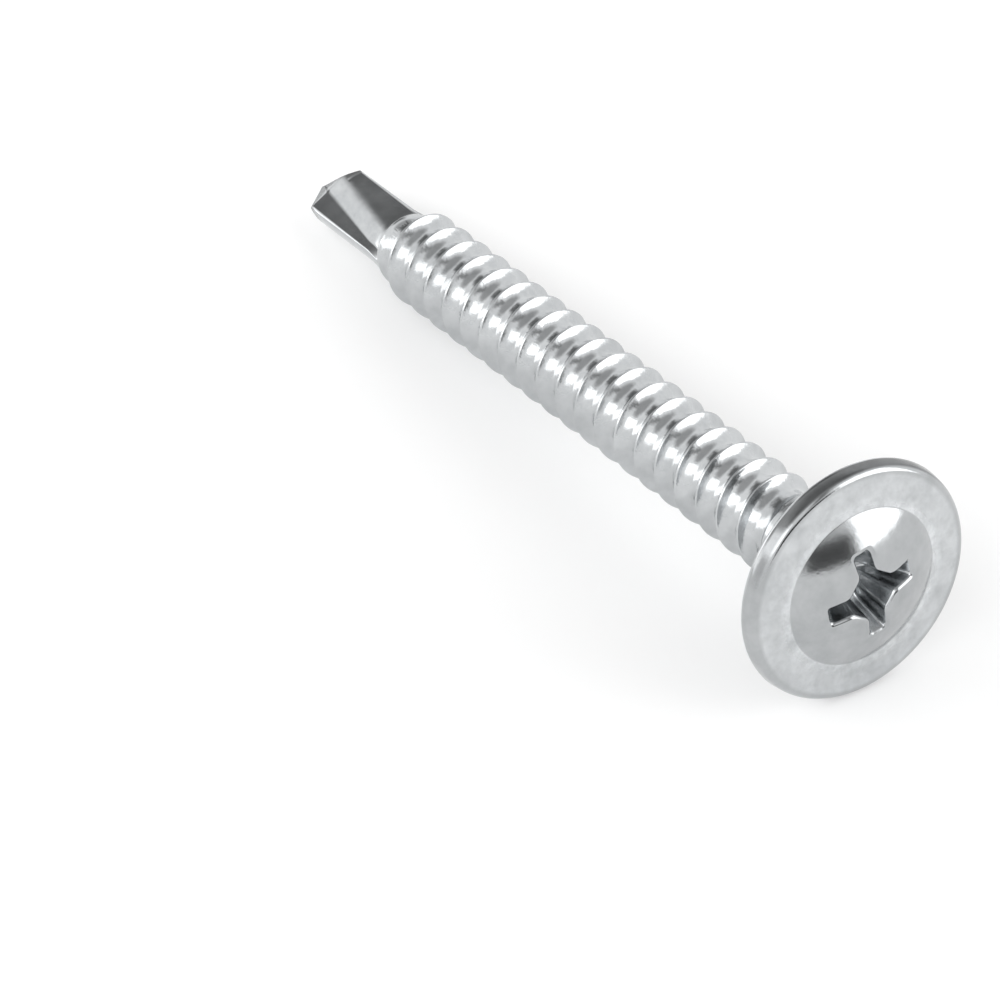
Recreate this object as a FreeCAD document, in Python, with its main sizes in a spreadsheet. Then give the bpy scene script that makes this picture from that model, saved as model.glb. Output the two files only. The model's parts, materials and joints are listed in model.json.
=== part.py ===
import FreeCAD, Part
import math
import os
import Sketcher

# Self drilling screw with a wafer head, cross recess, tapping thread and drill point.
# The screw is one forged and rolled piece of steel, so it is one solid.
# Own frame while it is built: Z runs along the screw from the bearing face under the
# head at Z = 0 to the drill point, and the head stands on the side of negative Z.
# Lengths are millimetres and angles are degrees.

doc = FreeCAD.newDocument("SelfDrillingScrew")

# Driving sizes
SIZES = {
    "head_diameter": 10.2,
    "flange_thickness": 0.85,
    "rim_height": 0.25,
    "rim_turn": 0.08,
    "rim_turn_height": 0.06,
    "seat_margin": 0.25,
    "side_height": 0.6,
    "side_draft": 0.09,
    "edge_turn": 0.22,
    "edge_turn_height": 0.78,
    "edge_width": 0.42,
    "dome_diameter": 6.7,
    "dome_base_height": 0.98,
    "head_height": 1.85,
    "collar_diameter": 4.0,
    "collar_length": 0.62,
    "collar_foot": 0.2,
    "neck_diameter": 3.44,
    "neck_step": 0.15,
    "root_diameter": 3.0,
    "thread_diameter": 4.0,
    "thread_pitch": 1.41,
    "base_width": 0.74,
    "root_overlap": 0.12,
    "thread_start": 4.0,
    "thread_end_gap": 7.2984,
    "fade_turns": 0.75,
    "rest_phase": 0.1,
    "thread_angle": 69.0,
    "screw_length": 37.75,
    "drill_diameter": 2.8,
    "drill_shoulder": 1.2,
    "recess_span": 4.15,
    "recess_depth": 2.2,
    "wing_width": 0.8,
    "wing_draft": 22.0,
    "wing_side_draft": 3.0,
    "recess_core": 2.1,
    "core_draft": 12.0,
    "core_turn": 45.0,
    "blade_angle": 150.0,
    "flute_length": 6.3,
    "flute_scoop": 1.4,
    "flute_run_out": 0.14,
    "ridge_back": 0.33,
    "ridge_back_height": 0.59,
    "ridge_tip": 1.0,
    "ridge_tip_height": 0.31,
    "valley_back": 0.8,
    "valley_back_height": 0.65,
    "valley_tip": 0.03,
    "valley_tip_height": 0.36,
    "flank_fall": 30.0,
    "wall_rise": 18.0,
    "point_angle": 108.0,
    "chisel_twist": 20.2,
    "roll_angle": 79.4,
}

sheet = doc.addObject("Spreadsheet::Sheet", "Sizes")
for row, (alias, number) in enumerate(SIZES.items(), start=1):
    sheet.set("A%d" % row, alias.replace("_", " "))
    sheet.set("B%d" % row, str(number))
    sheet.setAlias("B%d" % row, alias)
doc.recompute()

# Sizes that follow from the driving sizes
HEAD_RADIUS = "Sizes.head_diameter / 2"
DOME_RADIUS = "Sizes.dome_diameter / 2"
DOME_RISE = "(Sizes.head_height - Sizes.dome_base_height)"
COLLAR_RADIUS = "Sizes.collar_diameter / 2"
NECK_RADIUS = "Sizes.neck_diameter / 2"
ROOT_RADIUS = "Sizes.root_diameter / 2"
THREAD_RADIUS = "Sizes.thread_diameter / 2"
DRILL_RADIUS = "Sizes.drill_diameter / 2"
THREAD_END = "(Sizes.screw_length - Sizes.thread_end_gap)"
FULL_TURNS = "((%s - Sizes.thread_start) / Sizes.thread_pitch)" % THREAD_END
REST_TURNS = "(floor(%s - Sizes.rest_phase) + Sizes.rest_phase)" % FULL_TURNS
FADE_LENGTH = "(Sizes.fade_turns * Sizes.thread_pitch)"
ROOT_START = "(Sizes.thread_start - %s / 2)" % FADE_LENGTH
ROOT_END = "(%s + %s)" % (THREAD_END, FADE_LENGTH)
FLUTE_START = "(Sizes.screw_length - Sizes.flute_length)"
CLEAR = "Sizes.drill_diameter"


def value(expression):
    result = sheet.evalExpression(expression)
    return float(getattr(result, "Value", result))


def tie(sketch, kind, item, end, expression):
    # Holds one coordinate of a sketch point at an expression, on whichever side of zero it is
    size = value(expression)
    if abs(size) < 1e-9:
        axis = -2 if kind == "DistanceX" else -1
        sketch.addConstraint(Sketcher.Constraint("PointOnObject", item, end, axis))
        return
    if size > 0:
        row = sketch.addConstraint(Sketcher.Constraint(kind, -1, 1, item, end, size))
        sketch.setExpression("Constraints[%d]" % row, expression)
    else:
        row = sketch.addConstraint(Sketcher.Constraint(kind, item, end, -1, 1, -size))
        sketch.setExpression("Constraints[%d]" % row, "-(%s)" % expression)


def arc_between(start, finish, radius, side):
    # Minor arc of a given radius that bulges to the left of its chord, or right if side is -1
    chord = finish.sub(start)
    half = chord.Length / 2
    rise = radius - math.sqrt(max(radius * radius - half * half, 0.0))
    across = FreeCAD.Vector(-chord.y, chord.x, 0).normalize().multiply(side * rise)
    middle = start.add(finish).multiply(0.5).add(across)
    return Part.Arc(start, middle, finish)


def draw(sketch, corners, curves=None):
    # Closed outline through corners, each a pair of expressions, with arcs where curves says
    curves = curves or {}
    points = [FreeCAD.Vector(value(across), value(along), 0) for across, along in corners]
    ends = []
    for number, start in enumerate(points):
        finish = points[(number + 1) % len(points)]
        if number in curves:
            radius, side = curves[number]
            sketch.addGeometry(arc_between(start, finish, value(radius), side), False)
            first = sketch.getPoint(number, 1)
            ends.append((1, 2) if first.distanceToPoint(start) < 1e-6 else (2, 1))
        else:
            sketch.addGeometry(Part.LineSegment(start, finish), False)
            ends.append((1, 2))
    for number in range(len(points)):
        after = (number + 1) % len(points)
        joint = Sketcher.Constraint("Coincident", number, ends[number][1], after, ends[after][0])
        sketch.addConstraint(joint)
    for number, (across, along) in enumerate(corners):
        tie(sketch, "DistanceX", number, ends[number][0], across)
        tie(sketch, "DistanceY", number, ends[number][0], along)
    for number, (radius, side) in curves.items():
        row = sketch.addConstraint(Sketcher.Constraint("Radius", number, value(radius)))
        sketch.setExpression("Constraints[%d]" % row, radius)


def new_sketch(body, name, role):
    sketch = body.newObject("Sketcher::SketchObject", name)
    plane = [item for item in body.Origin.OriginFeatures if item.Role == role][0]
    sketch.AttachmentSupport = [(plane, "")]
    sketch.MapMode = "FlatFace"
    return sketch


def axial_sketch(body, name, angle=None):
    # Sketch in a plane through the screw's axis, with X outwards and Y along the screw
    sketch = new_sketch(body, name, "XZ_Plane")
    if angle:
        turn = FreeCAD.Rotation(FreeCAD.Vector(0, 1, 0), value(angle))
        sketch.AttachmentOffset = FreeCAD.Placement(FreeCAD.Vector(), turn)
        sketch.setExpression("AttachmentOffset.Rotation.Angle", angle)
    return sketch


def level_sketch(body, name, height, angle=None):
    # Sketch across the screw at a height along it, turned about the screw's axis
    sketch = new_sketch(body, name, "XY_Plane")
    turn = FreeCAD.Rotation(FreeCAD.Vector(0, 0, 1), value(angle) if angle else 0)
    sketch.AttachmentOffset = FreeCAD.Placement(FreeCAD.Vector(0, 0, value(height)), turn)
    sketch.setExpression("AttachmentOffset.Base.z", height)
    if angle:
        sketch.setExpression("AttachmentOffset.Rotation.Angle", angle)
    return sketch


def polar(body, feature, name, copies, sweep):
    # Repeats a feature about the screw's axis, evenly over a sweep
    axis = [item for item in body.Origin.OriginFeatures if item.Role == "Z_Axis"][0]
    pattern = body.newObject("PartDesign::PolarPattern", name)
    pattern.Originals = [feature]
    pattern.Axis = (axis, [""])
    pattern.Angle = sweep
    pattern.Occurrences = copies
    body.Tip = pattern
    return pattern


def forge_blank(body):
    # Head, neck, thread core and drill blank, turned about the axis in one profile
    sketch = axial_sketch(body, "blank_profile")
    corners = [
        ("0", "-Sizes.head_height"),
        (DOME_RADIUS, "-Sizes.dome_base_height"),
        (HEAD_RADIUS + " - Sizes.edge_width", "-Sizes.flange_thickness"),
        (HEAD_RADIUS + " - Sizes.edge_turn", "-Sizes.edge_turn_height"),
        (HEAD_RADIUS + " - Sizes.side_draft", "-Sizes.side_height"),
        (HEAD_RADIUS, "-Sizes.rim_height"),
        (HEAD_RADIUS + " - Sizes.rim_turn", "-Sizes.rim_turn_height"),
        (HEAD_RADIUS + " - Sizes.seat_margin", "0"),
        (COLLAR_RADIUS + " + Sizes.collar_foot", "0"),
        (COLLAR_RADIUS, "Sizes.collar_foot"),
        (COLLAR_RADIUS, "Sizes.collar_length"),
        (NECK_RADIUS, "Sizes.collar_length + Sizes.neck_step"),
        (NECK_RADIUS, ROOT_START + " - Sizes.neck_step"),
        (ROOT_RADIUS, ROOT_START),
        (ROOT_RADIUS, ROOT_END),
        (DRILL_RADIUS, ROOT_END + " + Sizes.drill_shoulder"),
        (DRILL_RADIUS, "Sizes.screw_length"),
        ("0", "Sizes.screw_length"),
    ]
    dome_arc = "((%s)^2 + %s^2) / (2 * %s)" % (DOME_RADIUS, DOME_RISE, DOME_RISE)
    draw(sketch, corners, {0: (dome_arc, -1)})
    blank = body.newObject("PartDesign::Revolution", "blank")
    blank.Profile = sketch
    blank.ReferenceAxis = (sketch, ["V_Axis"])
    blank.Angle = 360
    return blank


def rectangle(sketch, length, width):
    across = "(%s) / 2" % length
    along = "(%s) / 2" % width
    corners = [
        (across, along),
        ("-" + across, along),
        ("-" + across, "-" + along),
        (across, "-" + along),
    ]
    draw(sketch, corners)


def press_recess(body):
    # Cross recess: two crossing tapered slots and a tapered square core between them
    top = "-Sizes.head_height"
    bottom = "Sizes.recess_depth - Sizes.head_height"
    wing_shrink = "2 * Sizes.recess_depth * tan(Sizes.wing_draft)"
    side_shrink = "2 * Sizes.recess_depth * tan(Sizes.wing_side_draft)"
    core_shrink = "2 * Sizes.recess_depth * tan(Sizes.core_draft)"

    wing_top = level_sketch(body, "wing_top", top)
    rectangle(wing_top, "Sizes.recess_span", "Sizes.wing_width")
    wing_bottom = level_sketch(body, "wing_bottom", bottom)
    rectangle(wing_bottom, "Sizes.recess_span - " + wing_shrink, "Sizes.wing_width - " + side_shrink)
    wing = body.newObject("PartDesign::SubtractiveLoft", "recess_wing")
    wing.Profile = wing_top
    wing.Sections = [wing_bottom]
    wing.Ruled = True
    polar(body, wing, "recess_wings", 2, 90)

    core_top = level_sketch(body, "core_top", top, "Sizes.core_turn")
    rectangle(core_top, "Sizes.recess_core", "Sizes.recess_core")
    core_bottom = level_sketch(body, "core_bottom", bottom, "Sizes.core_turn")
    core_size = "Sizes.recess_core - " + core_shrink
    rectangle(core_bottom, core_size, core_size)
    core = body.newObject("PartDesign::SubtractiveLoft", "recess_core_cut")
    core.Profile = core_top
    core.Sections = [core_bottom]
    core.Ruled = True
    return core


def flute_section(body, name, height, ridge, valley, flank, wall):
    # Outline of the metal taken off one side of the drill: a flank that falls away outside
    # the ridge, the flute's floor from the ridge to the valley, and the wall beyond it
    sketch = level_sketch(body, name, height, "Sizes.blade_angle")
    corners = [
        ("-" + CLEAR, flank),
        ridge,
        valley,
        (CLEAR, wall),
        (CLEAR, CLEAR),
        ("-" + CLEAR, CLEAR),
    ]
    draw(sketch, corners)
    return sketch


def slopes(end):
    # Ridge and valley of a flute's section, and how far its flank falls and its wall rises
    ridge = ("Sizes.ridge_%s" % end, "Sizes.ridge_%s_height" % end)
    valley = ("Sizes.valley_%s" % end, "Sizes.valley_%s_height" % end)
    flank = "%s - (%s - %s) * tan(Sizes.flank_fall)" % (ridge[1], CLEAR, ridge[0])
    wall = "%s + (%s - %s) * tan(Sizes.wall_rise)" % (valley[1], CLEAR, valley[0])
    return ("-" + ridge[0], ridge[1]), valley, flank, wall


def cut_flutes(body):
    # Two straight flutes that scoop out of the shank and deepen towards the point
    rim = DRILL_RADIUS + " + Sizes.flute_run_out"
    start = flute_section(
        body, "flute_start", FLUTE_START,
        ("-Sizes.ridge_back", rim),
        ("Sizes.valley_back", rim),
        rim, rim,
    )
    back = flute_section(body, "flute_back", FLUTE_START + " + Sizes.flute_scoop", *slopes("back"))
    tip = flute_section(body, "flute_tip", "Sizes.screw_length", *slopes("tip"))
    flute = body.newObject("PartDesign::SubtractiveLoft", "flute")
    flute.Profile = start
    flute.Sections = [back, tip]
    flute.Ruled = True
    return polar(body, flute, "flutes", 2, 360)


def grind_point(body):
    # Two flat facets that meet in a chisel edge across the web, set at an angle to the blade
    sketch = axial_sketch(body, "point_profile", "Sizes.blade_angle - Sizes.chisel_twist")
    fall = "%s / tan(Sizes.point_angle / 2)" % CLEAR
    corners = [
        ("-" + CLEAR, "Sizes.screw_length - " + fall),
        ("0", "Sizes.screw_length"),
        (CLEAR, "Sizes.screw_length - " + fall),
        (CLEAR, "Sizes.screw_length + " + CLEAR),
        ("-" + CLEAR, "Sizes.screw_length + " + CLEAR),
    ]
    draw(sketch, corners)
    point = body.newObject("PartDesign::Pocket", "point")
    point.Profile = sketch
    point.Midplane = True
    point.Length = value("2 * " + CLEAR)
    point.setExpression("Length", "2 * " + CLEAR)
    return point


def thread_profile(body, name, angle, height):
    # Triangle of the thread's ridge, with a sharp crest, sunk a little into the core
    sketch = axial_sketch(body, name, angle)
    slope = "Sizes.base_width / (Sizes.thread_diameter - Sizes.root_diameter)"
    half_base = "(Sizes.base_width / 2 + Sizes.root_overlap * %s)" % slope
    inner = ROOT_RADIUS + " - Sizes.root_overlap"
    corners = [
        (inner, "%s - %s" % (height, half_base)),
        (THREAD_RADIUS, height),
        (inner, "%s + %s" % (height, half_base)),
    ]
    draw(sketch, corners)
    return sketch


def roll_thread(body):
    # Right hand thread that fades into the neck at one end and into the drill at the other
    start_angle = "Sizes.thread_angle"
    end_angle = "Sizes.thread_angle + 360 * %s" % FULL_TURNS
    fade_angle = "atan((Sizes.thread_diameter - Sizes.root_diameter) / 2 / %s)" % FADE_LENGTH

    sketch = thread_profile(body, "thread_profile", start_angle, "Sizes.thread_start")
    thread = body.newObject("PartDesign::AdditiveHelix", "thread")
    thread.Profile = sketch
    thread.ReferenceAxis = (sketch, ["V_Axis"])
    thread.Mode = "pitch-turns-angle"
    thread.setExpression("Pitch", "Sizes.thread_pitch")
    thread.setExpression("Turns", FULL_TURNS)

    tail_sketch = thread_profile(body, "tail_profile", end_angle, THREAD_END)
    tail = body.newObject("PartDesign::AdditiveHelix", "thread_tail")
    tail.Profile = tail_sketch
    tail.ReferenceAxis = (tail_sketch, ["V_Axis"])
    tail.Mode = "pitch-turns-angle"
    tail.setExpression("Pitch", "Sizes.thread_pitch")
    tail.setExpression("Turns", "Sizes.fade_turns")
    tail.setExpression("Angle", "-%s" % fade_angle)

    head_sketch = thread_profile(body, "lead_profile", start_angle, "Sizes.thread_start")
    lead = body.newObject("PartDesign::AdditiveHelix", "thread_lead")
    lead.Profile = head_sketch
    lead.ReferenceAxis = (head_sketch, ["V_Axis"])
    lead.Mode = "pitch-turns-angle"
    lead.Reversed = True
    lead.setExpression("Pitch", "Sizes.thread_pitch")
    lead.setExpression("Turns", "Sizes.fade_turns")
    lead.setExpression("Angle", "-%s" % fade_angle)
    return lead


def lay_down(body):
    # The screw lies on its flange and its last full crest, so its axis falls to the point
    arm = value(HEAD_RADIUS + " - " + THREAD_RADIUS)
    last_crest = "Sizes.thread_start + %s * Sizes.thread_pitch" % REST_TURNS
    reach = value(last_crest + " + Sizes.rim_height")
    tilt = math.atan2(arm, reach)
    roll = FreeCAD.Rotation(FreeCAD.Vector(0, 0, 1), value("Sizes.roll_angle"))
    fall = FreeCAD.Rotation(FreeCAD.Vector(0, 1, 0), -90 - math.degrees(tilt))
    body.Placement = FreeCAD.Placement(FreeCAD.Vector(), fall.multiply(roll))
    doc.recompute()
    box = body.Shape.optimalBoundingBox(False, False)
    centre = box.Center
    body.Placement.Base = FreeCAD.Vector(-centre.x, -centre.y, -box.ZMin)


def check_document():
    for item in doc.Objects:
        if "Invalid" in item.State or "Error" in item.State:
            raise RuntimeError("%s did not rebuild" % item.Name)


screw = doc.addObject("PartDesign::Body", "Screw")
screw.Label = "self_drilling_screw"
for step in (forge_blank, press_recess, roll_thread, cut_flutes, grind_point):
    step(screw)
    doc.recompute()
    check_document()
lay_down(screw)
doc.recompute()
check_document()

shape = screw.Shape
if shape.isNull() or not shape.isValid() or len(shape.Solids) != 1:
    raise RuntimeError("the screw is not one sound solid")

os.makedirs("parts", exist_ok=True)
shape.exportStep("parts/%s.step" % screw.Label)
print("volume mm3", round(shape.Volume, 3), "faces", len(shape.Faces))
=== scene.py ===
import json
import math

import bmesh
import bpy
from mathutils import Matrix, Vector, noise


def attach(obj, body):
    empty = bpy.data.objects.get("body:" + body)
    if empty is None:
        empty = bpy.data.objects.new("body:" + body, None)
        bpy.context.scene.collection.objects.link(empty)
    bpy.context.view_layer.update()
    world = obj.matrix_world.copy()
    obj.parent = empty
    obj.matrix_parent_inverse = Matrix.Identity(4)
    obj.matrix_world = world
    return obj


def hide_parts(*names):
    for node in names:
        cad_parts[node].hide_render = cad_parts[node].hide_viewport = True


bl_info = {
    "name": "Self Drilling Screw",
    "version": (1, 0, 0),
    "blender": (4, 5, 0),
    "location": "View3D > Sidebar > Screw",
    "description": "Forges, rolls and points a self drilling screw and sets it in a studio",
    "category": "Add Mesh",
}

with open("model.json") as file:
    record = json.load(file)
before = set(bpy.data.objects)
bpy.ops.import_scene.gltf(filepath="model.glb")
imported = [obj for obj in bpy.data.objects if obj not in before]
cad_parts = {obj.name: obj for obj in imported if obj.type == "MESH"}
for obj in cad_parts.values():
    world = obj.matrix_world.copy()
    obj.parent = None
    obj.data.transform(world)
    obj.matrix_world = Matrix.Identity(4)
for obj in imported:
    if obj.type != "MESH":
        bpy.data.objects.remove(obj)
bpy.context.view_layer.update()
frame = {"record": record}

MM = 0.001
NODE = "self_drilling_screw"
# Turn of the screw about its own axis as it lies
ROLL = math.radians(79.4)


def mount(name):
    return next(m for m in frame["record"]["mounts"] if m["name"] == name)


def length(name, description, default):
    return bpy.props.FloatProperty(
        name=name, description=description, default=default * MM, subtype="DISTANCE", unit="LENGTH"
    )


def angle(name, description, default):
    return bpy.props.FloatProperty(
        name=name, description=description, default=math.radians(default), subtype="ANGLE"
    )


def share(name, description, default):
    return bpy.props.FloatProperty(name=name, description=description, default=default)


def tint(name, description, default):
    return bpy.props.FloatVectorProperty(
        name=name, description=description, default=default, subtype="COLOR", size=3, min=0, max=1
    )


class ForgedHeadSizes(bpy.types.PropertyGroup):
    head_radius: length("Head radius", "Outer radius of the flange", 5.096)
    head_height: length("Head height", "Top of the dome above the bearing face", 1.85)
    dome_radius: length("Dome radius", "Radius of the dome where it meets the flange", 3.35)
    dome_base: length("Dome base", "Height of the dome's edge above the bearing face", 0.98)
    flange_height: length("Flange height", "Height of the flange inside its rounded edge", 0.85)
    edge_width: length("Edge width", "Width of the flange's rounded upper edge", 0.42)
    side_height: length("Side height", "Height of the flange's steep side", 0.6)
    side_draft: length("Side draft", "How far the side leans in over its height", 0.05)
    rim_height: length("Rim height", "Height of the flange's widest line", 0.25)
    collar_radius: length("Collar radius", "Radius of the collar under the head", 2.0)
    collar_length: length("Collar length", "Length of the collar under the head", 0.62)
    neck_radius: length("Neck radius", "Radius of the plain neck", 1.72)


class RecessSizes(bpy.types.PropertyGroup):
    reach: length("Wing reach", "Half of the recess's span at its lip", 1.97)
    half_width: length("Wing half width", "Half of a wing's width at its lip", 0.375)
    core: length("Core", "Distance from the axis to the cut between two wings", 1.0)
    depth: length("Depth", "Depth of the recess's walls below its lip", 1.95)
    floor_drop: length("Floor drop", "Depth of the pointed floor below the walls", 0.3)
    end_draft: angle("End draft", "Slope of the wings' outer ends", 20.0)
    side_draft: angle("Side draft", "Slope of the wings' sides", 3.0)
    core_draft: angle("Core draft", "Slope of the core's walls", 11.0)
    lip: length("Lip", "Width of the worn lip where the recess meets the dome", 0.14)


class RolledThreadSizes(bpy.types.PropertyGroup):
    root_radius: length("Root radius", "Radius between the thread's turns", 1.5)
    crest_radius: length("Crest radius", "Radius at the thread's crest", 2.0)
    pitch: length("Pitch", "Distance between neighbouring crests", 1.41)
    crest_width: length("Crest width", "Width of the thread's crest", 0.06)
    hollow_curve: share("Hollow curve", "How flat the hollow between two crests starts", 3.0)
    first_crest: length("First crest", "Where the full thread starts below the head", 4.0)
    full_turns: share("Full turns", "Turns of the thread at full height", 18.76)
    fade_turns: share("Fade turns", "Turns over which the thread fades at either end", 0.75)
    start_angle: angle("Start angle", "Turn of the full thread's start about the axis", 69.0)
    neck_end: length("Neck end", "Where the neck steps down to the root", 3.4)
    drill_radius: length("Drill radius", "Radius of the drill blank", 1.4)
    drill_taper: length("Drill taper", "Length over which the root narrows to the drill blank", 1.2)
    unevenness: length("Unevenness", "Height of the waves that rolling leaves", 0.012)


class DrillPointSizes(bpy.types.PropertyGroup):
    tip: length("Tip", "Distance of the tip from the bearing face", 37.748)
    flute_length: length("Flute length", "Length of the flutes from the tip", 6.3)
    scoop: length("Scoop", "Length over which a flute sinks to its depth", 1.4)
    blade_angle: angle("Blade angle", "Turn of the blade about the axis", 150.0)
    flank_fall: angle("Flank fall", "Slope at which the flank falls away outside the ridge", 30.0)
    wall_rise: angle("Wall rise", "Slope at which the wall rises beyond the valley", 18.0)
    point_angle: angle("Point angle", "Angle between the two relief facets", 108.0)
    chisel_twist: angle("Chisel twist", "Turn of the chisel edge from the blade", 20.2)


class ZincFinish(bpy.types.PropertyGroup):
    zinc: tint("Zinc", "Colour of the bright zinc plating", (0.555, 0.57, 0.58))
    dull_zinc: tint("Dull zinc", "Colour of the plating where it is duller", (0.47, 0.485, 0.495))
    dome_shade: share("Dome shade", "Brightness of the dome's zinc beside the thread's", 0.84)
    # Painted light: makes the recess's walls lighter than the dome's zinc
    painted_recess_light: share("Recess shade", "Brightness of the recess's walls beside the thread", 0.95)
    flange_shade: share("Flange shade", "Brightness of the flange's face beside the dome", 1.27)
    ring_shade: share("Ring shade", "Brightness of the ring around the dome beside the flange", 1.12)
    # Painted shade: darkens the upper part of the flange's side as the screw lies, beside the dome's zinc
    painted_rim_top_shade: share("Side shade", "Brightness of the flange's duller upper side beside the dome", 0.4)
    flange_matt: share("Flange matt", "Roughness that the flange's face has over the dome", 0.08)
    head_roughness: share("Head roughness", "Roughness of the forged head", 0.13)
    thread_roughness: share("Thread roughness", "Roughness of the rolled thread", 0.15)


class StudioSettings(bpy.types.PropertyGroup):
    floor_size: bpy.props.FloatProperty(
        name="Floor size", description="Width of the pale floor", default=6.0, unit="LENGTH"
    )
    floor_colour: tint("Floor colour", "Colour of the pale floor", (0.86, 0.86, 0.86))
    floor_glow: share("Floor glow", "White added to the floor for the camera and reflections", 0.16)
    focal_length: share("Focal length", "Focal length of the camera in millimetres", 192.585)
    camera_place: bpy.props.FloatVectorProperty(
        name="Camera place", description="Where the camera stands",
        default=(0.143245, -0.099222, 0.134637), subtype="TRANSLATION", unit="LENGTH",
    )
    camera_turn: bpy.props.FloatVectorProperty(
        name="Camera turn", description="How the camera is turned",
        default=[math.radians(a) for a in (51.66538, -0.20185, 56.58298)], subtype="EULER",
    )


# Shared shaping helpers


# Distance under which two verts are one, and distance within which a vert lies on a cut
DOUBLES = 0.2e-6
ON_CUT = 1e-7


def lying_down():
    """Placement of the screw's own frame, with Z along it from the bearing face to the tip."""
    face = mount("bearing_face")
    along = Vector(face["axis"])
    seat = Vector((face["pos_m"][0], 0.0, face["pos_m"][2]))
    fall = Matrix.Rotation(math.atan2(along.x, along.z), 4, "Y")
    return Matrix.Translation(seat) @ fall @ Matrix.Rotation(ROLL, 4, "Z")


def finish_piece(context, bm, name, materials):
    """Closes a bmesh into a piece that lies where the screw lies and stands for the CAD node."""
    bmesh.ops.remove_doubles(bm, verts=bm.verts, dist=DOUBLES)
    bmesh.ops.recalc_face_normals(bm, faces=bm.faces)
    open_edges = [edge for edge in bm.edges if not edge.is_manifold]
    if open_edges:
        raise RuntimeError("%s has %d open edges" % (name, len(open_edges)))
    bmesh.ops.transform(bm, matrix=lying_down(), verts=bm.verts)
    mesh = bpy.data.meshes.new(name)
    bm.to_mesh(mesh)
    bm.free()
    for polygon in mesh.polygons:
        polygon.use_smooth = True
    piece = bpy.data.objects.new(name, mesh)
    context.scene.collection.objects.link(piece)
    for material in materials:
        mesh.materials.append(material)
    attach(piece, "root")
    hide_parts(NODE)
    return piece


def lay_line(bm, stations):
    """Lays a profile of radius and height pairs in the plane of the screw's axis."""
    verts = [bm.verts.new((radius, 0.0, height)) for radius, height in stations]
    edges = [bm.edges.new(pair) for pair in zip(verts, verts[1:])]
    return verts + edges


def turn(bm, stations, steps):
    """Turns a profile once about the screw's axis."""
    bmesh.ops.spin(
        bm, geom=lay_line(bm, stations), axis=(0, 0, 1), cent=(0, 0, 0), dvec=(0, 0, 0),
        angle=math.tau, steps=steps, use_merge=True, use_duplicate=False,
    )


def arc(start, finish, radius, steps, bulge=1):
    """Points of an arc between two profile points, without the first one."""
    start, finish = Vector(start), Vector(finish)
    chord = finish - start
    across = Vector((-chord.y, chord.x)).normalized() * bulge
    centre = (start + finish) / 2 - across * math.sqrt(max(radius ** 2 - chord.length_squared / 4, 0))
    first = math.atan2(*(start - centre).yx)
    sweep = (math.atan2(*(finish - centre).yx) - first + math.pi) % math.tau - math.pi
    angles = [first + sweep * step / steps for step in range(1, steps + 1)]
    return [tuple(centre + Vector((math.cos(a), math.sin(a))) * radius) for a in angles]


def smooth_step(low, high, value):
    t = min(max((value - low) / (high - low), 0.0), 1.0)
    return t * t * (3 - 2 * t)


# Zinc finish


def add_node(tree, kind, **settings):
    node = tree.nodes.new(kind)
    for key, value in settings.items():
        setattr(node, key, value)
    return node


def plug(tree, socket, value):
    """Links a socket to another one, or sets its value."""
    if isinstance(value, bpy.types.NodeSocket):
        tree.links.new(value, socket)
    else:
        socket.default_value = value


def feed(tree, node, **inputs):
    """Sets or links a node's inputs by their names, with underscores for spaces."""
    for key, value in inputs.items():
        plug(tree, node.inputs[key.replace("_", " ")], value)
    return node


def combined(tree, operation, *values):
    """Result of a math node for sockets or numbers."""
    node = add_node(tree, "ShaderNodeMath", operation=operation)
    for socket, value in zip(node.inputs, values):
        plug(tree, socket, value)
    return node.outputs["Value"]


def combined_vector(tree, operation, *values):
    """Result of a vector math node, a number for a length or a dot product."""
    node = add_node(tree, "ShaderNodeVectorMath", operation=operation)
    for socket, value in zip(node.inputs, values):
        plug(tree, socket, value)
    return node.outputs["Value" if operation in {"LENGTH", "DOT_PRODUCT"} else "Vector"]


def mapped_noise(tree, vector, scale, detail, roughness):
    node = add_node(tree, "ShaderNodeTexNoise")
    feed(tree, node, Vector=vector, Scale=scale, Detail=detail, Roughness=roughness)
    return node.outputs["Fac"]


def ranged(tree, value, low, high, to_low, to_high):
    """Maps a value from one range to another and clamps it there."""
    node = add_node(tree, "ShaderNodeMapRange")
    tree.links.new(value, node.inputs["Value"])
    for key, number in (("From Min", low), ("From Max", high), ("To Min", to_low), ("To Max", to_high)):
        node.inputs[key].default_value = number
    return node.outputs["Result"]


def zinc_material(finish, name, shade, roughness, spread, grain, ripple):
    """Bright zinc plating with duller clouds, a fine grain and broad ripples in its surface."""
    ripple_height, grain_height = 0.1 * MM, 0.03 * MM
    material = bpy.data.materials.new(name)
    material.use_nodes = True
    tree = material.node_tree
    shader = tree.nodes["Principled BSDF"]
    place = add_node(tree, "ShaderNodeTexCoord").outputs["Object"]
    clouds = mapped_noise(tree, place, scale=380.0, detail=4.0, roughness=0.6)
    specks = mapped_noise(tree, place, scale=2600.0, detail=3.0, roughness=0.6)
    stains = mapped_noise(tree, place, scale=1300.0, detail=5.0, roughness=0.65)
    brightness = ranged(tree, combined(tree, "ADD", clouds, stains), 0.78, 1.16, 0.0, 1.0)
    colour = add_node(tree, "ShaderNodeMix", data_type="RGBA")
    plug(tree, colour.inputs["Factor"], brightness)
    plug(tree, colour.inputs["A"], (*[part * shade for part in finish.dull_zinc], 1))
    plug(tree, colour.inputs["B"], (*[part * shade for part in finish.zinc], 1))
    duller = ranged(tree, clouds, 0.3, 0.7, roughness + spread, roughness - spread)
    broad = add_node(tree, "ShaderNodeBump")
    feed(tree, broad, Strength=ripple, Distance=ripple_height, Height=clouds)
    fine = add_node(tree, "ShaderNodeBump")
    feed(tree, fine, Strength=grain, Distance=grain_height, Height=specks, Normal=broad.outputs["Normal"])
    feed(
        tree, shader, Base_Color=colour.outputs["Result"], Roughness=duller, Metallic=1.0,
        Normal=fine.outputs["Normal"],
    )
    return material


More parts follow.
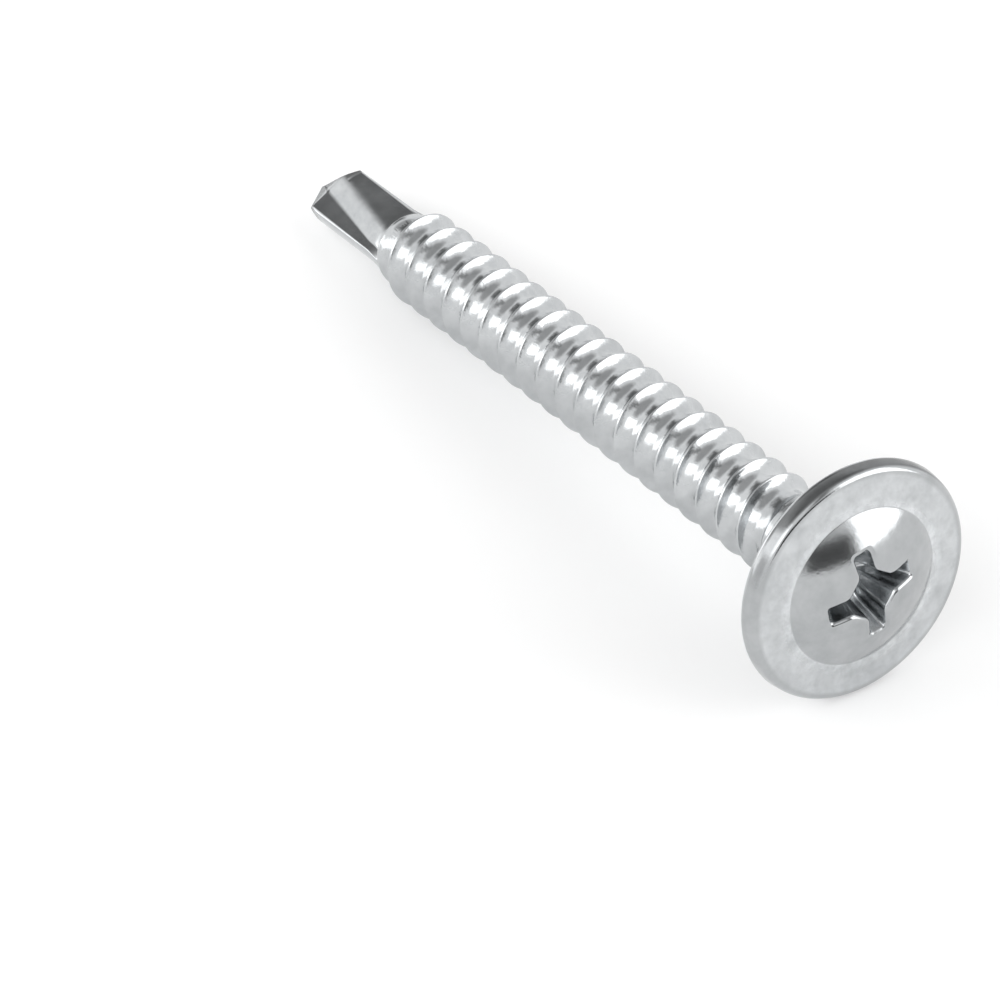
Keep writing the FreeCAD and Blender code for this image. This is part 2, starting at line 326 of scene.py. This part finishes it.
def flange_masks(tree, place, sizes):
    """Masks of the flange's face, of the ring around the dome and of the upper part of the flange's side,
    where shade is painted.
    """
    lying = lying_down()
    offset = combined_vector(tree, "SUBTRACT", place, lying.translation)
    across = combined_vector(tree, "CROSS_PRODUCT", offset, lying.to_3x3() @ Vector((0, 0, 1)))
    reach = combined_vector(tree, "LENGTH", across)
    level = add_node(tree, "ShaderNodeSeparateXYZ")
    tree.links.new(place, level.inputs[0])
    dome, side = sizes.dome_radius, sizes.head_radius
    edge = side - sizes.edge_width
    outside_dome = ranged(tree, reach, dome, dome + 0.06 * MM, 0.0, 1.0)
    inside_edge = ranged(tree, reach, edge - 0.05 * MM, edge + 0.12 * MM, 1.0, 0.0)
    near_dome = ranged(tree, reach, dome + 0.2 * MM, dome + 0.6 * MM, 1.0, 0.0)
    on_side = ranged(tree, reach, side - 0.14 * MM, side - 0.08 * MM, 0.0, 1.0)
    # Painted shade: the flange's side is darkened towards its top as the screw lies
    upper = ranged(tree, level.outputs["Z"], 6.5 * MM, 9.2 * MM, 0.0, 1.0)
    pairs = ((outside_dome, inside_edge), (outside_dome, near_dome), (on_side, upper))
    return [combined(tree, "MULTIPLY", *pair) for pair in pairs]


def pale_flange(material, finish, sizes):
    """Makes the flange paler and more matt than the dome and the rim, palest around the dome, and paints
    shade on the upper part of its side.
    """
    tree = material.node_tree
    shader = tree.nodes["Principled BSDF"]
    colour_in, roughness_in = shader.inputs["Base Color"], shader.inputs["Roughness"]
    place = add_node(tree, "ShaderNodeTexCoord").outputs["Object"]
    mottles = mapped_noise(tree, place, scale=1700.0, detail=5.0, roughness=0.7)
    looks = (
        (finish.flange_shade, finish.flange_matt),
        (finish.ring_shade, finish.flange_matt),
        # Painted shade on the upper part of the flange's side
        (finish.painted_rim_top_shade, 0.0),
    )
    for mask, (strength, matt) in zip(flange_masks(tree, place, sizes), looks):
        colour = add_node(tree, "ShaderNodeMix", data_type="RGBA", blend_type="MULTIPLY")
        plug(tree, colour.inputs["Factor"], mask)
        plug(tree, colour.inputs["A"], colour_in.links[0].from_socket)
        shades = ranged(tree, mottles, 0.36, 0.6, strength * 0.92, strength * 1.04)
        plug(tree, colour.inputs["B"], shades)
        plug(tree, colour_in, colour.outputs["Result"])
        rough = combined(tree, "MULTIPLY_ADD", mask, matt, roughness_in.links[0].from_socket)
        plug(tree, roughness_in, rough)
    return material


# Forged head


def dome_height(sizes, radius):
    """Height of the dome over the bearing face at a distance from the axis."""
    rise = sizes.head_height - sizes.dome_base
    ball = (sizes.dome_radius ** 2 + rise ** 2) / (2 * rise)
    return sizes.head_height - ball + math.sqrt(ball ** 2 - radius ** 2)


def forge_body(bm, sizes, cap_radius, steps):
    """Turns the head from the ring around the recess to the closed end of the collar."""
    rings, crease = 8, 0.015 * MM
    stations = []
    for ring in range(rings + 1):
        radius = cap_radius + (sizes.dome_radius - cap_radius) * ring / rings
        stations.append((radius, -dome_height(sizes, radius)))
    near_edge = sizes.dome_radius - crease
    stations.insert(rings, (near_edge, -dome_height(sizes, near_edge)))
    # Crisp edge of the dome and the shallow ring around it
    for across, fall in ((crease, 0.003 * MM), (0.16 * MM, 0.028 * MM), (0.36 * MM, 0.06 * MM)):
        stations.append((sizes.dome_radius + across, -sizes.dome_base + fall))
    # Flange's face, rounded edge, steep side and widest line
    flat_radius = sizes.head_radius - sizes.edge_width
    stations.append((flat_radius - 0.15 * MM, -sizes.flange_height - 0.004 * MM))
    stations.append((flat_radius, -sizes.flange_height))
    side = (sizes.head_radius - sizes.side_draft, -sizes.side_height)
    stations += arc(stations[-1], side, 0.36 * MM, 10, -1)
    stations.append((sizes.head_radius - 0.017 * MM, -sizes.rim_height - 0.12 * MM))
    stations.append((sizes.head_radius, -sizes.rim_height))
    # Bearing face, with the collar and the neck under it
    seat_edge = (sizes.head_radius - 0.25 * MM, 0.0)
    stations += arc(stations[-1], seat_edge, 0.27 * MM, 6, -1)
    fillet = 0.2 * MM
    stations.append((sizes.collar_radius + fillet, 0.0))
    stations += arc(stations[-1], (sizes.collar_radius, fillet), fillet, 6, 1)
    bevel, inside_neck = 0.05 * MM, sizes.collar_length + 0.2 * MM
    stations.append((sizes.collar_radius, sizes.collar_length - bevel))
    stations.append((sizes.collar_radius - bevel, sizes.collar_length))
    stations.append((sizes.neck_radius, inside_neck - bevel))
    stations.append((sizes.neck_radius - 0.1 * MM, inside_neck))
    stations.append((0.0, inside_neck))
    turn(bm, stations, steps)


def cross_outline(bm, recess):
    """Draws the recess's outline in the flat, with its corners rounded, and returns its edges."""
    corner_radius, long_edge = 0.16 * MM, 0.3 * MM
    reach, half = recess.reach, recess.half_width
    inner = recess.core * math.sqrt(2) - half
    wing = [(reach, -half), (reach, half), (inner, half)]
    corners = []
    for quarter in range(4):
        spin = Matrix.Rotation(quarter * math.pi / 2, 2)
        corners += [spin @ Vector(corner) for corner in wing]
        corners.append(spin @ Vector((half, inner)))
    verts = [bm.verts.new((*corner, 0.0)) for corner in corners]
    face = bm.faces.new(verts)
    bmesh.ops.bevel(
        bm, geom=list(face.verts), offset=corner_radius, segments=4, profile=0.5,
        affect="VERTICES", material=-1,
    )
    face = max(bm.faces, key=lambda item: item.calc_area())
    long_edges = [edge for edge in face.edges if edge.calc_length() > long_edge]
    bmesh.ops.subdivide_edges(bm, edges=long_edges, cuts=5)
    face = max(bm.faces, key=lambda item: item.calc_area())
    edges = list(face.edges)
    bmesh.ops.delete(bm, geom=[face], context="FACES_ONLY")
    return edges


def drafted(recess, depth, grow):
    """Maps a distance from the recess's middle at its lip to the same place at a depth."""
    half = recess.half_width
    inner = recess.core * math.sqrt(2) - half
    half_now = half - depth * math.tan(recess.side_draft) + grow
    core_now = recess.core - depth * math.tan(recess.core_draft) + grow * 0.5
    inner_now = core_now * math.sqrt(2) - half_now + grow
    reach_now = recess.reach - depth * math.tan(recess.end_draft) + grow

    def place(distance):
        size = abs(distance)
        if size <= half:
            moved = size * half_now / half
        elif size <= inner:
            moved = half_now + (size - half) * (inner_now - half_now) / (inner - half)
        else:
            moved = inner_now + (size - inner) * (reach_now - inner_now) / (recess.reach - inner)
        return math.copysign(moved, distance)

    return place


def cover_dome(bm, sizes, recess, cap_radius, steps):
    """Covers the dome between the recess's lip and the turned ring, and maps the lip to its outline."""
    edges = cross_outline(bm, recess)
    place = drafted(recess, 0.0, recess.lip)
    sources = []
    for vert in {vert for edge in edges for vert in edge.verts}:
        source = vert.co.xy.copy()
        vert.co = Vector((place(source.x), place(source.y), 0.0))
        sources.append((vert.co.xy.copy(), source))
    ring = bmesh.ops.create_circle(bm, cap_ends=False, segments=steps, radius=cap_radius)["verts"]
    ring_edges = list({edge for vert in ring for edge in vert.link_edges})
    faces = bmesh.ops.bridge_loops(bm, edges=edges + ring_edges)["faces"]
    spokes = [edge for edge in {edge for face in faces for edge in face.edges} if not edge.is_boundary]
    bmesh.ops.subdivide_edges(bm, edges=spokes, cuts=7, use_grid_fill=True)
    middle = [vert for vert in bm.verts if not vert.is_boundary]
    for _ in range(3):
        bmesh.ops.smooth_vert(bm, verts=middle, factor=0.5, use_axis_x=True, use_axis_y=True)
    for vert in bm.verts:
        vert.co.z = -dome_height(sizes, min(vert.co.xy.length, cap_radius))
    lip = [
        edge for edge in bm.edges
        if edge.is_boundary and edge.verts[0].co.xy.length < cap_radius * 0.99
    ]
    origins = {}
    for vert in {vert for edge in lip for vert in edge.verts}:
        origins[vert] = min(sources, key=lambda pair: (pair[0] - vert.co.xy).length)[1]
    return lip, origins


def press_recess(bm, sizes, recess, loop, origins):
    """Presses the cross recess into the covered dome: rounded lip, drafted walls and pointed floor."""
    lip, walls = recess.lip, 6
    curve = ((0.1, 0.75), (0.42, 0.25), (0.75, 0.06), (1.1, 0.0))
    stations = [(lip * depth, lip * grow) for depth, grow in curve]
    wall_top = stations[-1][0]
    wall = recess.depth - wall_top
    stations += [(wall_top + wall * step / walls, 0.0) for step in range(1, walls + 1)]
    for depth, grow in stations:
        made = bmesh.ops.extrude_edge_only(bm, edges=loop)["geom"]
        fresh = {item for item in made if isinstance(item, bmesh.types.BMVert)}
        loop = [
            item for item in made
            if isinstance(item, bmesh.types.BMEdge) and set(item.verts) <= fresh
        ]
        # Faces below the lip take the recess's zinc, which is painted lighter than the dome
        for face in {face for vert in fresh for face in vert.link_faces}:
            face.material_index = 1 if depth > lip else 0
        place = drafted(recess, depth, grow)
        sunk = smooth_step(0.0, recess.depth, depth)
        moved = {}
        for vert in fresh:
            source = next(
                origins[edge.other_vert(vert)] for edge in vert.link_edges
                if edge.other_vert(vert) in origins
            )
            vert.co.xy = place(source.x), place(source.y)
            level = dome_height(sizes, vert.co.xy.length) * (1 - sunk) + sizes.head_height * sunk
            vert.co.z = depth - level
            moved[vert] = source
        origins = moved
    floor = bmesh.ops.contextual_create(bm, geom=loop)["faces"]
    poked = bmesh.ops.poke(bm, faces=floor)
    bmesh.ops.translate(bm, vec=(0, 0, recess.floor_drop), verts=poked["verts"])
    for face in poked["faces"]:
        face.material_index = 1


class SCREW_OT_forge_head(bpy.types.Operator):
    """Forge the wafer head with its flange, dome, collar and cross recess"""

    bl_idname = "screw.forge_head"
    bl_label = "Forge Head"

    def execute(self, context):
        sizes, recess = context.scene.head_sizes, context.scene.recess_sizes
        finish = context.scene.zinc_finish
        steps, cap_radius = 192, 2.4 * MM
        bm = bmesh.new()
        loop, origins = cover_dome(bm, sizes, recess, cap_radius, steps)
        press_recess(bm, sizes, recess, loop, origins)
        forge_body(bm, sizes, cap_radius, steps)
        for face in bm.faces:
            if face.material_index == 0 and face.calc_center_median().z > -sizes.rim_height:
                face.material_index = 2
        satin = zinc_material(
            finish, "satin zinc", finish.dome_shade, finish.head_roughness,
            spread=0.04, grain=0.16, ripple=0.03,
        )
        matt = {"roughness": 0.2, "spread": 0.05, "grain": 0.2, "ripple": 0.05}
        # Painted light: a lighter copy of the zinc for the recess's walls
        painted_light_recess = zinc_material(finish, "pressed zinc", finish.painted_recess_light, **matt)
        underside = zinc_material(finish, "plain zinc", 1.0, **matt)
        finish_piece(context, bm, "forged_head", [pale_flange(satin, finish, sizes), painted_light_recess, underside])
        return {"FINISHED"}


# Rolled thread


def thread_profile(sizes):
    """Heights of one thread above its root, from one root line to the next, with the crest midway."""
    half_crest = sizes.crest_width / 2
    height = sizes.crest_radius - sizes.root_radius
    hollow = sizes.pitch / 2 - half_crest
    steps = (0.0, 0.12, 0.24, 0.35, 0.45, 0.54, 0.62, 0.69, 0.755, 0.815, 0.87, 0.92, 0.965, 0.99)
    flank = [(half_crest + hollow * (1 - t), 0.985 * height * t ** sizes.hollow_curve) for t in steps]
    rising = [(sizes.pitch / 2 - across, rise) for across, rise in flank]
    falling = [(sizes.pitch / 2 + across, rise) for across, rise in reversed(flank)]
    return rising + [(sizes.pitch / 2, height)] + falling


def thread_end(sizes):
    """Distance from the bearing face at which the thread has faded out."""
    return sizes.first_crest + (sizes.full_turns + sizes.fade_turns) * sizes.pitch


def shank_radius(sizes, neck, height):
    """Radius of the shank under the thread: neck, root and drill blank."""
    end = thread_end(sizes)
    to_root = smooth_step(sizes.neck_end - 0.15 * MM, sizes.neck_end + 0.1 * MM, height)
    to_drill = smooth_step(end, end + sizes.drill_taper, height)
    return neck + (sizes.root_radius - neck) * to_root + (sizes.drill_radius - sizes.root_radius) * to_drill


class SCREW_OT_roll_thread(bpy.types.Operator):
    """Roll the right hand thread onto the shank, with both its ends fading out"""

    bl_idname = "screw.roll_thread"
    bl_label = "Roll Thread"

    def execute(self, context):
        sizes, neck = context.scene.thread_sizes, context.scene.head_sizes.neck_radius
        finish = context.scene.zinc_finish
        steps, waves_a_metre = 100, 650
        low, high = 0.5 * MM, 31.4 * MM
        turns = int((high - low) / sizes.pitch) + 4
        begin = low - 1.5 * sizes.pitch
        # Crest height at angle zero that fits the start angle of the full thread
        crest_zero = sizes.first_crest - sizes.start_angle / math.tau * sizes.pitch
        shift = (crest_zero - sizes.pitch / 2 - begin) % sizes.pitch
        begin += shift - sizes.pitch
        bm = bmesh.new()
        stations = [(sizes.root_radius + rise, begin + across) for across, rise in thread_profile(sizes)]
        bmesh.ops.spin(
            bm, geom=lay_line(bm, stations), axis=(0, 0, 1), cent=(0, 0, 0),
            dvec=(0, 0, sizes.pitch / steps), angle=math.tau, steps=steps,
            use_merge=False, use_duplicate=False,
        )
        one_turn = bm.verts[:] + bm.edges[:] + bm.faces[:]
        for number in range(1, turns):
            copied = bmesh.ops.duplicate(bm, geom=one_turn)["geom"]
            verts = [item for item in copied if isinstance(item, bmesh.types.BMVert)]
            bmesh.ops.translate(bm, vec=(0, 0, sizes.pitch * number), verts=verts)
        bmesh.ops.remove_doubles(bm, verts=bm.verts, dist=1e-6)
        for level, outside in ((low, (0, 0, -1)), (high, (0, 0, 1))):
            bmesh.ops.bisect_plane(
                bm, geom=bm.verts[:] + bm.edges[:] + bm.faces[:], dist=ON_CUT,
                plane_co=(0, 0, level), plane_no=outside, clear_outer=True,
            )
        last = sizes.first_crest + sizes.full_turns * sizes.pitch
        fade = sizes.fade_turns * sizes.pitch
        for vert in bm.verts:
            radius, height = math.hypot(vert.co.x, vert.co.y), vert.co.z
            around = math.atan2(vert.co.y, vert.co.x) / math.tau * sizes.pitch
            turns_up = round((height - crest_zero - around) / sizes.pitch)
            crest = crest_zero + around + turns_up * sizes.pitch
            full = min((crest - sizes.first_crest) / fade + 1, (last - crest) / fade + 1, 1.0)
            rise = (radius - sizes.root_radius) * max(full, 0.0)
            body = shank_radius(sizes, neck, height)
            wave = noise.noise(vert.co * waves_a_metre) * sizes.unevenness
            wave *= smooth_step(2.5 * MM, sizes.first_crest, height)
            target = max(body, sizes.root_radius + rise if full > 0 else body) + wave
            vert.co.x *= target / radius
            vert.co.y *= target / radius
        for level in (low, high):
            rim = [
                edge for edge in bm.edges
                if all(abs(vert.co.z - level) < ON_CUT for vert in edge.verts)
            ]
            bmesh.ops.contextual_create(bm, geom=rim)
        shiny = zinc_material(
            finish, "rolled zinc", 1.0, finish.thread_roughness, spread=0.04, grain=0.4, ripple=0.2
        )
        finish_piece(context, bm, "rolled_thread", [shiny])
        return {"FINISHED"}


# Drill point


# Corners of a flute's section at the tip and at its back, in millimetres
RIDGE_AT_TIP, RIDGE_AT_BACK = Vector((-1.0, 0.31)), Vector((-0.33, 0.59))
VALLEY_AT_TIP, VALLEY_AT_BACK = Vector((0.03, 0.36)), Vector((0.8, 0.65))


def circle_cut(radius, inner, outer):
    """Point where the line from an inner to an outer point leaves the drill's circle."""
    along = outer - inner
    half = inner.dot(along)
    squared = along.length_squared
    reach = -half + math.sqrt(half ** 2 - squared * (inner.length_squared - radius ** 2))
    return inner + along * reach / squared


def blade_corners(sizes, radius, back):
    """Wall end, valley, ridge and flank end of one flute, at a share of the way back from the tip."""
    ridge = RIDGE_AT_TIP.lerp(RIDGE_AT_BACK, back) * MM
    valley = VALLEY_AT_TIP.lerp(VALLEY_AT_BACK, back) * MM
    reach = 2 * radius
    wall = circle_cut(radius, valley, valley + Vector((reach, reach * math.tan(sizes.wall_rise))))
    flank = circle_cut(radius, ridge, ridge - Vector((reach, reach * math.tan(sizes.flank_fall))))
    return [wall, valley, ridge, flank]


def blade_outline(sizes, radius, back, depth, counts):
    """Points of the blade's section, with its two flutes sunk by a share of their depth."""
    corners = blade_corners(sizes, radius, back)
    corners.append(-corners[0])
    round_corners = [circle_angle(corner) for corner in corners]
    ridge = corners[2]
    inside, outside = ridge.lerp(corners[1], 0.5), ridge.lerp(corners[3], 0.9)
    half = []
    for side, count in enumerate(counts):
        for step in range(count):
            share_along = step / count
            turned = round_corners[side] + (round_corners[side + 1] - round_corners[side]) * share_along
            outer = Vector((math.cos(turned), math.sin(turned))) * radius
            cut = corners[side].lerp(corners[side + 1], share_along)
            if side == 1 and share_along > 0.5:
                cut = rounded(inside, ridge, outside, share_along - 0.5)
            elif side == 2 and share_along < 0.9:
                cut = rounded(inside, ridge, outside, 0.5 + share_along / 1.8)
            half.append(outer if side == len(counts) - 1 else outer.lerp(cut, depth))
    return half + [-point for point in half]


def rounded(start, corner, end, along):
    """Point on the curve that rounds a corner between two points of its sides."""
    return start.lerp(corner, along).lerp(corner.lerp(end, along), along)


def circle_angle(point):
    return math.atan2(point.y, point.x) % math.tau


class SCREW_OT_point_drill(bpy.types.Operator):
    """Forge the drill point with its two flutes, sharp lips and relief facets"""

    bl_idname = "screw.point_drill"
    bl_label = "Point Drill"

    def execute(self, context):
        sizes, thread = context.scene.point_sizes, context.scene.thread_sizes
        finish = context.scene.zinc_finish
        counts = (8, 16, 8, 8)
        start = sizes.tip - sizes.flute_length
        back_end = start + sizes.scoop
        wide, fade_end = thread.root_radius, thread_end(thread)
        # Level, share of the way back from the tip and share of the flutes' depth
        levels = [(30.6 * MM, 1.0, 0.0), (start - 0.05 * MM, 1.0, 0.0)]
        scoops, runs = 10, 8
        for step in range(scoops + 1):
            along = step / scoops
            sunk = math.sqrt(1 - (1 - along) ** 2)
            levels.append((start + sizes.scoop * along, 1.0, sunk))
        for step in range(1, runs + 1):
            levels.append((back_end + (sizes.tip - back_end) * step / runs, 1.0 - step / runs, 1.0))
        bm = bmesh.new()
        number = 2 * sum(counts)
        ring = bmesh.ops.create_circle(bm, cap_ends=True, segments=number, radius=wide)["verts"]
        ring = sorted(ring, key=lambda vert: circle_angle(vert.co.xy))
        loop = [edge for edge in bm.edges]
        for step, (level, back, depth) in enumerate(levels):
            if step:
                made = bmesh.ops.extrude_edge_only(bm, edges=loop)["geom"]
                fresh = [item for item in made if isinstance(item, bmesh.types.BMVert)]
                above = {}
                for vert in fresh:
                    older = next(
                        edge.other_vert(vert) for edge in vert.link_edges
                        if edge.other_vert(vert) in place
                    )
                    above[place[older]] = vert
                loop = [
                    item for item in made
                    if isinstance(item, bmesh.types.BMEdge)
                    and all(vert in above.values() for vert in item.verts)
                ]
                ring = [above[index] for index in range(number)]
            place = {vert: index for index, vert in enumerate(ring)}
            taper = smooth_step(fade_end, fade_end + thread.drill_taper, level)
            radius = wide + (thread.drill_radius - wide) * taper
            for vert, point in zip(ring, blade_outline(sizes, radius, back, depth, counts)):
                vert.co = Vector((point.x, point.y, level))
        bmesh.ops.contextual_create(bm, geom=loop)
        turned = Matrix.Rotation(sizes.blade_angle, 3, "Z")
        bmesh.ops.rotate(bm, verts=bm.verts, cent=(0, 0, 0), matrix=turned)
        lean = math.pi / 2 - sizes.point_angle / 2
        for side in (0, math.pi):
            around = Matrix.Rotation(sizes.blade_angle - sizes.chisel_twist + side, 3, "Z")
            outward = around @ Vector((math.sin(lean), 0, math.cos(lean)))
            cut = bmesh.ops.bisect_plane(
                bm, geom=bm.verts[:] + bm.edges[:] + bm.faces[:], dist=ON_CUT,
                plane_co=(0, 0, sizes.tip), plane_no=outward, clear_outer=True,
            )["geom_cut"]
            rim = [item for item in cut if isinstance(item, bmesh.types.BMEdge)]
            bmesh.ops.contextual_create(bm, geom=rim)
        steel = zinc_material(
            finish, "pointed zinc", 1.0, finish.thread_roughness, spread=0.05, grain=0.08, ripple=0.04
        )
        finish_piece(context, bm, "drill_point", [steel])
        return {"FINISHED"}


# Studio


def panel(tree, direction, azimuth, elevation, half_width, half_height, edge):
    """Mask of a soft rectangle far away, seen from the screw."""
    az, el = math.radians(azimuth), math.radians(elevation)
    axes = (
        (math.cos(az) * math.cos(el), math.sin(az) * math.cos(el), math.sin(el)),
        (-math.sin(az), math.cos(az), 0.0),
        (-math.cos(az) * math.sin(el), -math.sin(az) * math.sin(el), math.cos(el)),
    )
    ahead, aside, above = [combined_vector(tree, "DOT_PRODUCT", direction, axis) for axis in axes]
    mask = ranged(tree, ahead, 0.0, 0.02, 0.0, 1.0)
    for part, half in ((aside, half_width), (above, half_height)):
        slope = combined(tree, "ABSOLUTE", combined(tree, "DIVIDE", part, ahead))
        edge_in = math.tan(math.radians(max(half - edge, 0.0)))
        edge_out = math.tan(math.radians(half + edge))
        mask = combined(tree, "MULTIPLY", mask, ranged(tree, slope, edge_in, edge_out, 1.0, 0.0))
    return mask


# Azimuth, elevation, half width, half height, edge softness in degrees, and brightness
SKY_PANELS = (
    (-140.0, 9.0, 22.0, 10.5, 3.0, 2.3),
    (-78.0, 37.0, 44.0, 12.0, 4.0, 2.8),
    (41.5, 18.0, 18.0, 19.0, 3.0, 3.0),
    (173.0, 30.0, 15.0, 13.0, 5.0, 0.17),
    (160.0, 10.0, 10.0, 12.0, 4.0, 0.35),
    (7.0, 42.0, 6.0, 18.0, 4.0, 0.3),
    (3.0, 6.0, 17.0, 12.0, 3.0, 0.1),
)


def studio_sky(scene):
    """Sky of a dim room with a pale horizon, and bright and dark panels around the table."""
    world = bpy.data.worlds.new("studio")
    scene.world = world
    world.use_nodes = True
    tree = world.node_tree
    direction = add_node(tree, "ShaderNodeTexCoord").outputs["Generated"]
    split = add_node(tree, "ShaderNodeSeparateXYZ")
    tree.links.new(direction, split.inputs[0])
    height = split.outputs["Z"]
    pale_below, dim_above = math.sin(math.radians(46)), math.sin(math.radians(64))
    light = ranged(tree, height, pale_below, dim_above, 1.12, 0.5)
    for azimuth, elevation, half_width, half_height, edge, brightness in SKY_PANELS:
        mask = panel(tree, direction, azimuth, elevation, half_width, half_height, edge)
        blend = add_node(tree, "ShaderNodeMix", data_type="FLOAT")
        feed(tree, blend, Factor=mask, A=light, B=brightness)
        light = blend.outputs["Result"]
    tree.links.new(light, tree.nodes["Background"].inputs["Strength"])
    tree.nodes["Background"].inputs["Color"].default_value = (1.0, 1.0, 1.0, 1.0)


def floor_material(studio):
    """Pale matt floor that the camera and the steel's reflections see as white."""
    material = bpy.data.materials.new("pale floor")
    material.use_nodes = True
    tree = material.node_tree
    shader = tree.nodes["Principled BSDF"]
    feed(tree, shader, Base_Color=(*studio.floor_colour, 1), Roughness=0.9)
    shader.inputs["Specular IOR Level"].default_value = 0.0
    path = add_node(tree, "ShaderNodeLightPath")
    seen = path.outputs["Is Camera Ray"]
    for name in ("Is Glossy Ray", "Is Transmission Ray"):
        seen = combined(tree, "MAXIMUM", seen, path.outputs[name])
    glow = ranged(tree, seen, 0.0, 1.0, 0.0, studio.floor_glow)
    feed(tree, shader, Emission_Color=(1, 1, 1, 1), Emission_Strength=glow)
    return material


class SCREW_OT_set_studio(bpy.types.Operator):
    """Set the pale floor, the soft light and the camera"""

    bl_idname = "screw.set_studio"
    bl_label = "Set Studio"

    def execute(self, context):
        scene, studio = context.scene, context.scene.studio_settings
        bm = bmesh.new()
        bmesh.ops.create_grid(bm, x_segments=2, y_segments=2, size=studio.floor_size / 2)
        mesh = bpy.data.meshes.new("floor")
        bm.to_mesh(mesh)
        bm.free()
        floor = bpy.data.objects.new("floor", mesh)
        scene.collection.objects.link(floor)
        mesh.materials.append(floor_material(studio))
        studio_sky(scene)
        lens = bpy.data.cameras.new("camera")
        lens.lens = studio.focal_length
        lens.sensor_width = 36.0
        lens.clip_start = 0.01
        lens.clip_end = 50.0
        camera = bpy.data.objects.new("camera", lens)
        camera.location = studio.camera_place
        camera.rotation_euler = studio.camera_turn
        scene.collection.objects.link(camera)
        scene.camera = camera
        scene.view_settings.view_transform = "Standard"
        return {"FINISHED"}


class SCREW_PT_workshop(bpy.types.Panel):
    """Lists the screw's making steps and its studio"""

    bl_label = "Self Drilling Screw"
    bl_idname = "SCREW_PT_workshop"
    bl_space_type = "VIEW_3D"
    bl_region_type = "UI"
    bl_category = "Screw"

    def draw(self, context):
        for operator in STEPS:
            self.layout.operator(operator.bl_idname)
        for group in GROUPS:
            box = self.layout.box()
            settings = getattr(context.scene, group)
            for key in settings.bl_rna.properties.keys():
                if key not in {"rna_type", "name"}:
                    box.prop(settings, key)


STEPS = (SCREW_OT_forge_head, SCREW_OT_roll_thread, SCREW_OT_point_drill, SCREW_OT_set_studio)
GROUPS = {
    "head_sizes": ForgedHeadSizes,
    "recess_sizes": RecessSizes,
    "thread_sizes": RolledThreadSizes,
    "point_sizes": DrillPointSizes,
    "zinc_finish": ZincFinish,
    "studio_settings": StudioSettings,
}


def register():
    for cls in (*GROUPS.values(), *STEPS, SCREW_PT_workshop):
        bpy.utils.register_class(cls)
    for name, group in GROUPS.items():
        setattr(bpy.types.Scene, name, bpy.props.PointerProperty(type=group))


def unregister():
    for name in GROUPS:
        delattr(bpy.types.Scene, name)
    for cls in reversed((*GROUPS.values(), *STEPS, SCREW_PT_workshop)):
        bpy.utils.unregister_class(cls)


def main():
    register()
    bpy.ops.screw.forge_head()
    bpy.ops.screw.roll_thread()
    bpy.ops.screw.point_drill()
    bpy.ops.screw.set_studio()


if __name__ == "__main__":
    main()
